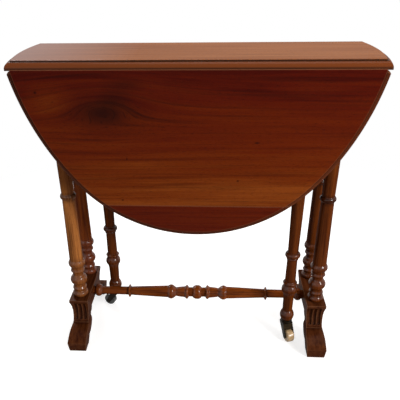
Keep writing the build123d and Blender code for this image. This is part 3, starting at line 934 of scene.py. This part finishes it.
def leaf_finishes(side, facing):
    """Finishes of a leaf's wide and narrow boards."""
    top = settings().top
    tones = settings().finish
    out, height, under = hinge_line()
    sides = [facing * (out + top.board - under - depth) for depth in (top.quirk, top.quirk - 1 * MM)]
    edge = (1, *sides, 0.75, tones.leaf_edge)
    # A pale band along the leaf's upper arris: rubbed wood and a painted highlight
    lip = (2, height - 0.6 * MM, height - 2 * MM, 0.5, tones.leaf_arris)
    flecks = [(*mark(facing, *fleck), share) for *fleck, share in FLECKS]
    marks = (mark(facing, *KNOT), mark(facing, *PALE_PATCH), flecks, [edge, lip])
    wide = finish(polished_leaf, f"french_polished_mahogany_{side}_leaf", *marks)
    return wide, finish(polished_tip, f"french_polished_mahogany_{side}_tip", edge)


class DROPLEAF_OT_boards(bpy.types.Operator):
    """Shape and polish the fixed board and the two boards of each leaf"""

    bl_idname = "drop_leaf.boards"
    bl_label = "Boards"

    def execute(self, context):
        faded = finish(faded_top, "french_polished_faded_mahogany")
        piece("top_board_moulded", fixed_board(), faded, "frame", ["top_board"])
        for side, facing in SIDES.items():
            wide, narrow = leaf_boards(facing)
            polish, tip_polish = leaf_finishes(side, facing)
            body = f"{side}_leaf"
            piece(f"{side}_leaf_moulded", wide, polish, body, [f"{side}_leaf_board"])
            piece(f"{side}_tip_moulded", narrow, tip_polish, body, [f"{side}_leaf_tip"])
        return {"FINISHED"}


class DROPLEAF_OT_hinges(bpy.types.Operator):
    """Finish the hinge flaps and put in their screws"""

    bl_idname = "drop_leaf.hinges"
    bl_label = "Hinges"

    def execute(self, context):
        brass = finish(tarnished_brass, "tarnished_brass")
        out, height, under = hinge_line()
        for side, facing in SIDES.items():
            for kind in ("fixed", "moving"):
                dress(f"{side}_hinge_{kind}_flaps", brass)
            fixed = bmesh.new()
            moving = bmesh.new()
            for spot in hinge_spots():
                for x, run in FIXED_SCREWS:
                    place = (spot + x * MM, facing * (out - run * MM), height - under)
                    slotted_head(fixed, place, (0, 0, -1), x)
                for x, run in MOVING_SCREWS:
                    place = (spot + x * MM, facing * (out - under), height - run * MM)
                    slotted_head(moving, place, (0, -facing, 0), run + x)
            piece(f"{side}_hinge_fixed_screws", fixed, brass, "frame", [])
            piece(f"{side}_hinge_moving_screws", moving, brass, f"{side}_leaf", [])
        return {"FINISHED"}


def slotted_head(shape, place, facing, turn):
    """A countersunk screw head let into a flap: two halves, one each side of its slot."""
    facing = Vector(facing)
    right = Matrix.Rotation(turn * SCREW_TURN, 3, facing) @ facing.orthogonal().normalized()
    ahead = facing.cross(right)
    reach = asin(SCREW_HALF_SLOT / SCREW_RADIUS)
    for way in (-1, 1):
        rings = []
        for size, rise in SCREW_ROUNDS:
            outline = on_circle(0, 0, SCREW_RADIUS * size * MM, spread(reach, pi - reach, SCREW_STEPS))
            base = Vector(place) + facing * rise * MM
            rings.append([base + right * x + ahead * way * y for x, y in outline])
        skin(shape, rings)


class DROPLEAF_OT_columns(bpy.types.Operator):
    """Turn the four columns"""

    bl_idname = "drop_leaf.columns"
    bl_label = "Columns"

    def execute(self, context):
        tones = settings().finish
        low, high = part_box("left_front_column")
        collar = (low.z + high.z) / 2
        # The second bloom is the painted shadow of the leaf on the column's upper half
        ends = [(2, *FOOT_FADE, 0.62, tones.honey_foot_and_leaf_shadow), (2, *LEAF_SHADOW_FADE, 0.55, tones.honey_foot_and_leaf_shadow)]
        foot = [(2, *FOOT_FADE, 0.55, tones.russet_foot)]
        dark = ("turned_dark_mahogany", 2, tones.turned_pale, tones.turned_deep, collar)
        odd_timbers = {
            "left_front_column":
                ("turned_honey_mahogany", 2, tones.honey_pale, tones.honey_deep, collar, ends),
            "left_back_column":
                ("turned_russet_mahogany", 2, tones.russet_pale, tones.russet_deep, collar, foot),
        }
        for end in ENDS:
            for row in SIDES:
                node = f"{end}_{row}_column"
                timber = finish(turned_mahogany, *odd_timbers.get(node, dark))
                low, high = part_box(node)
                rise = (high.z - low.z) / 2 / MM
                storeys = []
                for storey in (COLUMN_FOOT, COLUMN_HEAD):
                    shaft = rise - sum(run[0] for run in COLUMN_WAIST + storey)
                    runs = COLUMN_WAIST + [(shaft, COLUMN_SHAFT, 0)] + storey
                    storeys.append(turned(COLUMN_COLLAR, runs))
                shape = lathe(end_to_end(*storeys), (low + high) / 2, UP)
                piece(f"{node}_turned", shape, timber, "frame", [node])
        return {"FINISHED"}


class DROPLEAF_OT_stretcher(bpy.types.Operator):
    """Turn the stretcher between the bases"""

    bl_idname = "drop_leaf.stretcher"
    bl_label = "Stretcher"

    def execute(self, context):
        tones = settings().finish
        timber = finish(turned_mahogany, "turned_mahogany_stretcher", 0, tones.rail_pale, tones.rail_deep)
        low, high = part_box("stretcher")
        half = turned(STRETCHER_BULB, STRETCHER)
        shape = lathe(end_to_end(half, half), (low + high) / 2, (1, 0, 0))
        piece("stretcher_turned", shape, timber, "frame", ["stretcher"])
        return {"FINISHED"}


class DROPLEAF_OT_bases(bpy.types.Operator):
    """Saw out the bases, hollow and flute their knees and soften their edges"""

    bl_idname = "drop_leaf.bases"
    bl_label = "Bases"

    def execute(self, context):
        timber = finish(dark_mahogany, "waxed_dark_mahogany")
        for end in ENDS:
            node = f"{end}_base"
            low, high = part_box(node)
            x = (low.x + high.x) / 2 / MM
            side = prism(
                base_side(), -BLANK_HALF_WIDTH, BLANK_HALF_WIDTH,
                lambda across, up, along: ((x + along) * MM, across * MM, up * MM),
            )
            front = prism(
                base_front(), -BLANK_HALF_LENGTH, BLANK_HALF_LENGTH,
                lambda across, up, along: ((x + across) * MM, along * MM, up * MM),
            )
            shape = carve(carve(side, front, "INTERSECT"), flute_tools(x), "DIFFERENCE")
            made = piece(f"{node}_fluted", shape, timber, "frame", [node])
            soften_edges(made, BASE_ARRIS, BASE_EDGE, harden=True)
        return {"FINISHED"}


def base_side():
    """Outline of a base seen from the end of the table, in millimetres."""
    reach, height = KNEE_CENTRE
    knee, ankle = (reach - sqrt(KNEE_RADIUS ** 2 - (up - height) ** 2) for up in (KNEE_TOP, ANKLE))
    half = [(0, BASE_TOP), (knee, BASE_TOP), (knee, KNEE_TOP)]
    half += arc_through(half[-1], (reach - KNEE_RADIUS, height), (ankle, ANKLE), 16)
    half += [(ankle + 3, ANKLE), (ankle + 4, 46)]
    half += arc_through(half[-1], *INSTEP, 10)
    half += TOE
    half += arc_through(half[-1], *ARCH, 12)
    half += arc_through(half[-1], *CUSP, 6)
    return half + [(-across, up) for across, up in reversed(half[1:])]


def base_front():
    """Outline of a base seen from the front of the table, in millimetres."""
    half = list(FRONT_SHOULDER)
    half += arc_through(half[-1], *FRONT_KNEE, 12)
    half.append(FRONT_ANKLE)
    half += arc_through(half[-1], *FRONT_INSTEP, 8)
    half += FRONT_TOE
    return half + [(-across, up) for across, up in reversed(half)]


def flute_tools(x):
    """Cutters for the three flutes of each knee, in metres."""
    tools = bmesh.new()
    for facing in SIDES.values():
        for spot in (-FLUTE_SPACING, 0, FLUTE_SPACING):
            angles = spread(-FLUTE_HALF_ARC, FLUTE_HALF_ARC, FLUTE_STEPS)
            skin(tools, [flute_ring(x + spot, facing, angle) for angle in angles])
    return tools


def flute_ring(x, facing, angle):
    """One ring of a flute's cutter, which is round at both its ends."""
    reach, height = KNEE_CENTRE
    left = (FLUTE_HALF_ARC - abs(angle)) / asin(FLUTE_RADIUS / FLUTE_CENTRE_RADIUS)
    size = FLUTE_RADIUS * (1 if left > 1 else max(FLUTE_TIP, sqrt(max(0, 1 - (1 - left) ** 2))))
    ring = []
    for deep, across in on_circle(0, 0, size, spread(0, 2 * pi, FLUTE_SIDES)[:-1]):
        out = FLUTE_CENTRE_RADIUS + deep
        y = facing * (reach - out * cos(angle))
        ring.append(((x + across) * MM, y * MM, (height + out * sin(angle)) * MM))
    return ring


class DROPLEAF_OT_gates(bpy.types.Operator):
    """Turn the swing legs and finish the gates' rails and pins"""

    bl_idname = "drop_leaf.gates"
    bl_label = "Gates"

    def execute(self, context):
        tones = settings().finish
        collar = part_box("front_gate_leg")[0].z + LEG_COLLAR * MM
        pair = (tones.turned_pale, tones.turned_deep)
        timber = finish(turned_mahogany, "turned_mahogany_legs", 2, *pair, collar)
        plain = finish(frame_wood, "stained_frame_wood")
        for side in SIDES:
            node = f"{side}_gate_leg"
            piece(f"{node}_turned", swing_leg(node), timber, f"{side}_gate", [node])
            dress(f"{side}_fly_rail", plain)
            dress(f"{side}_knuckle_rail", plain)
            dress(f"{side}_gate_pin", finish(dull_steel, "dull_steel"))
        return {"FINISHED"}


def swing_leg(node):
    """A swing leg: turned from its castor up, with a square head."""
    low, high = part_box(node)
    middle = (low + high) / 2
    ankle = low.z - LEG_IN_CUP * MM
    shape = lathe(turned(LEG_ANKLE, LEG), (middle.x, middle.y, ankle), UP)
    shoulder = ankle + sum(run[0] for run in LEG) * MM
    half = (high.x - low.x) / 2
    corners = soften([(-half, -half), (half, -half), (half, half), (-half, half)], HEAD_ARRIS * MM)
    levels = (
        (0.8, shoulder - HEAD_SHOULDER * MM),
        (1.0, shoulder + HEAD_SHOULDER * MM),
        (1.0, high.z - HEAD_CHAMFER * MM),
        (0.96, high.z),
    )
    rings = []
    for size, height in levels:
        rings.append([(middle.x + x * size, middle.y + y * size, height) for x, y in corners])
    return skin(shape, rings)


class DROPLEAF_OT_underframe(bpy.types.Operator):
    """Finish the bearers, rails and stops under the top"""

    bl_idname = "drop_leaf.underframe"
    bl_label = "Under-frame"

    def execute(self, context):
        plain = finish(frame_wood, "stained_frame_wood")
        for end in ENDS:
            dress(f"{end}_bearer", plain)
        for side in SIDES:
            dress(f"{side}_frame_rail", plain)
            dress(f"{side}_leaf_stop", plain)
        return {"FINISHED"}


class DROPLEAF_OT_castors(bpy.types.Operator):
    """Make the castors: brass cups and horns, steel axles and crowned china wheels"""

    bl_idname = "drop_leaf.castors"
    bl_label = "Castors"

    def execute(self, context):
        tones = settings().finish
        brass = finish(tarnished_brass, "tarnished_brass")
        glazes = {
            "front": finish(glazed_china, "cream_glazed_china", tones.china, tones.grime),
            "back": finish(glazed_china, "dark_glazed_china", tones.dark_china, tones.dark_grime),
        }
        spins = {joint["child"]: joint for joint in frame["joints"]}
        for side, glaze in glazes.items():
            node = f"{side}_castor"
            low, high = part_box(f"{node}_cup")
            foot = Vector(((low.x + high.x) / 2, (low.y + high.y) / 2, low.z))
            cup = lathe(turned(CUP_FOOT, CUP), foot, UP)
            piece(f"{node}_cup_turned", cup, brass, f"{side}_gate", [f"{node}_cup"])
            dress(f"{node}_axle", finish(dull_steel, "dull_steel"))
            spin = spins[f"{side}_wheel"]
            hub = Vector(spin["pos_m"])
            axis = Vector(spin["axis"])
            horn = cast_horn(foot, hub, axis)
            made = piece(f"{node}_horn_cast", horn, brass, node, [f"{node}_horn"])
            soften_edges(made, HORN_ARRIS, HORN_EDGE, harden=False)
            rim = hub - axis * WHEEL_WIDTH * MM / 2
            wheel = lathe(turned(WHEEL_BORE, WHEEL), rim, axis, capped=False)
            piece(f"{node}_wheel_crowned", wheel, glaze, f"{side}_wheel", [f"{node}_wheel"])
        return {"FINISHED"}


def cast_horn(cup_foot, hub, axis):
    """A castor's horn: drawn in from the plate under the cup to the axle's eyes, slotted for the wheel."""
    trail = Vector((hub.x - cup_foot.x, hub.y - cup_foot.y, 0))
    ahead = trail.normalized()
    reach = trail.length / MM
    top = cup_foot.z / MM - HORN_UNDER_CUP
    low = top - HORN_PLATE
    eye = hub.z / MM
    half = WHEEL_WIDTH / 2 + WHEEL_SIDE_ROOM
    wide = half + HORN_CHEEK

    def place(across, up, along):
        return Vector((cup_foot.x, cup_foot.y, up * MM)) + (ahead * across + axis * along) * MM

    turns = []
    for x, way in ((half, -1), (-half, 1)):
        run = x - reach
        rise = low - eye
        turns.append(atan2(rise, run) + way * acos(HORN_EYE / hypot(run, rise)))
    outline = [(-half, low), (-half, top), (half, top), (half, low)]
    outline += on_circle(reach, eye, HORN_EYE, spread(turns[0], turns[1] - 2 * pi, EYE_STEPS))
    slot = on_circle(reach, eye, WHEEL_RADIUS + WHEEL_ROOM, spread(0, 2 * pi, SLOT_STEPS)[:-1])
    horn = carve(prism(outline, -wide, wide, place), prism(slot, -half, half, place), "DIFFERENCE")
    lathe(turned(BOSS, BOSS_RUNS), cup_foot - Vector((0, 0, BOSS_DROP * MM)), UP, shape=horn)
    for way in (-1, 1):
        head = hub + axis * way * (wide - RIVET_SUNK) * MM
        lathe(turned(RIVET, RIVET_HEAD), head, axis * way, shape=horn)
    return horn


class DROPLEAF_OT_studio(bpy.types.Operator):
    """Set up the room, the floor, the soft lamps and the camera"""

    bl_idname = "drop_leaf.studio"
    bl_label = "Studio"

    def execute(self, context):
        scene = context.scene
        scene.view_settings.view_transform = "Standard"
        scene.world = white_room()
        floor = pale_floor()
        scene.collection.objects.link(floor)
        for name, (place, size) in LAMPS.items():
            scene.collection.objects.link(softbox(name, place, size))
        scene.camera = photo_camera()
        scene.collection.objects.link(scene.camera)
        return {"FINISHED"}


def seen(tree):
    """One where a ray comes from the camera, a reflection or a clear body, and nought elsewhere."""
    path = add(tree, "ShaderNodeLightPath").outputs
    bright = add(tree, MATH, (path["Is Camera Ray"], path["Is Glossy Ray"]), operation="MAXIMUM")
    return add(tree, MATH, (bright, path["Is Transmission Ray"]), operation="MAXIMUM")


def white_room():
    """A room that is plain white to the eye and in reflections, and a soft grey light otherwise."""
    world = bpy.data.worlds.new("white_studio")
    world.use_nodes = True
    tree = world.node_tree
    tree.nodes.clear()
    strength = settings().studio.ambient
    light = add(tree, "ShaderNodeBackground", {"Color": WHITE, "Strength": strength})
    white = add(tree, "ShaderNodeBackground", {"Color": WHITE, "Strength": 1.0})
    both = add(tree, "ShaderNodeMixShader", (seen(tree), light, white))
    add(tree, "ShaderNodeOutputWorld", {"Surface": both})
    return world


def pale_floor():
    """A pale matt floor that keeps the shadow, and goes over to the room's white away from the table."""
    material, tree = new_material("pale_matt_floor")
    place = add(tree, "ShaderNodeTexCoord").outputs["Object"]
    far = add(tree, "ShaderNodeVectorMath", (place,), operation="LENGTH").outputs["Value"]
    matt = add(tree, SURFACE, {
        "Base Color": (*settings().studio.floor, 1), "Roughness": 0.9, "Specular IOR Level": 0.0,
    })
    lift = add(tree, MATH, (seen(tree), FLOOR_LIFT), operation="MULTIPLY")
    glow = add(tree, "ShaderNodeEmission", {"Color": WHITE, "Strength": lift})
    lit = add(tree, "ShaderNodeAddShader", (matt, glow))
    white = add(tree, "ShaderNodeEmission", {"Color": WHITE, "Strength": 1.0})
    away = add(tree, RANGE, (far, *FLOOR_FADE))
    fade = add(tree, MATH, (seen(tree), away), operation="MULTIPLY")
    add(tree, OUTPUT, {"Surface": add(tree, "ShaderNodeMixShader", (fade, lit, white))})
    shape = bmesh.new()
    bmesh.ops.create_grid(shape, x_segments=4, y_segments=4, size=FLOOR_HALF)
    mesh = bpy.data.meshes.new("floor")
    shape.to_mesh(mesh)
    shape.free()
    mesh.materials.append(material)
    return bpy.data.objects.new("floor", mesh)


def softbox(name, place, size):
    """A square lamp aimed at the table."""
    lamp = bpy.data.lights.new(name, "AREA")
    lamp.energy = getattr(settings().studio, name)
    lamp.size = size
    box = bpy.data.objects.new(name, lamp)
    box.location = place
    box.rotation_euler = (Vector(LAMP_AIM) - Vector(place)).to_track_quat("-Z", "Y").to_euler()
    box.visible_camera = False
    return box


def photo_camera():
    """The camera, before the table and a little to its right, looking down at it."""
    level = cos(CAMERA_PITCH)
    ahead = Vector((sin(CAMERA_YAW) * level, cos(CAMERA_YAW) * level, -sin(CAMERA_PITCH)))
    flat = Vector((cos(CAMERA_YAW), -sin(CAMERA_YAW), 0))
    rise = flat.cross(ahead)
    right = flat * cos(CAMERA_ROLL) + rise * sin(CAMERA_ROLL)
    up = rise * cos(CAMERA_ROLL) - flat * sin(CAMERA_ROLL)
    camera = bpy.data.cameras.new("camera")
    camera.lens = settings().studio.lens
    camera.sensor_width = CAMERA_SENSOR
    camera.shift_x, camera.shift_y = CAMERA_SHIFT
    view = bpy.data.objects.new("camera", camera)
    turn = Matrix((right, up, -ahead)).transposed().to_4x4()
    view.matrix_world = Matrix.Translation(CAMERA_PLACE) @ turn
    return view


class DROPLEAF_PT_table(bpy.types.Panel):
    """The table's sizes and colours, and the steps that make it"""

    bl_idname = "DROPLEAF_PT_table"
    bl_label = "Drop Leaf Table"
    bl_space_type = "VIEW_3D"
    bl_region_type = "UI"
    bl_category = "Table"

    def draw(self, context):
        table = context.scene.drop_leaf_table
        for group in (table.top, table.finish, table.studio):
            box = self.layout.box()
            for name in group.__annotations__:
                box.prop(group, name)
        self.layout.prop(table, "turning_sides")
        for step in STEPS:
            self.layout.operator(step.bl_idname)


STEPS = (
    DROPLEAF_OT_studio, DROPLEAF_OT_boards, DROPLEAF_OT_hinges, DROPLEAF_OT_columns, DROPLEAF_OT_stretcher,
    DROPLEAF_OT_bases, DROPLEAF_OT_gates, DROPLEAF_OT_underframe, DROPLEAF_OT_castors,
)
CLASSES = (TopSettings, FinishSettings, StudioSettings, TableSettings, *STEPS, DROPLEAF_PT_table)


def register():
    """Add the classes and the scene's settings."""
    for each in CLASSES:
        bpy.utils.register_class(each)
    bpy.types.Scene.drop_leaf_table = PointerProperty(type=TableSettings)


def unregister():
    """Take the settings and the classes out again."""
    del bpy.types.Scene.drop_leaf_table
    for each in reversed(CLASSES):
        bpy.utils.unregister_class(each)


def main():
    register()
    for step in STEPS:
        group, name = step.bl_idname.split(".")
        getattr(getattr(bpy.ops, group), name)()


if __name__ == "__main__":
    main()
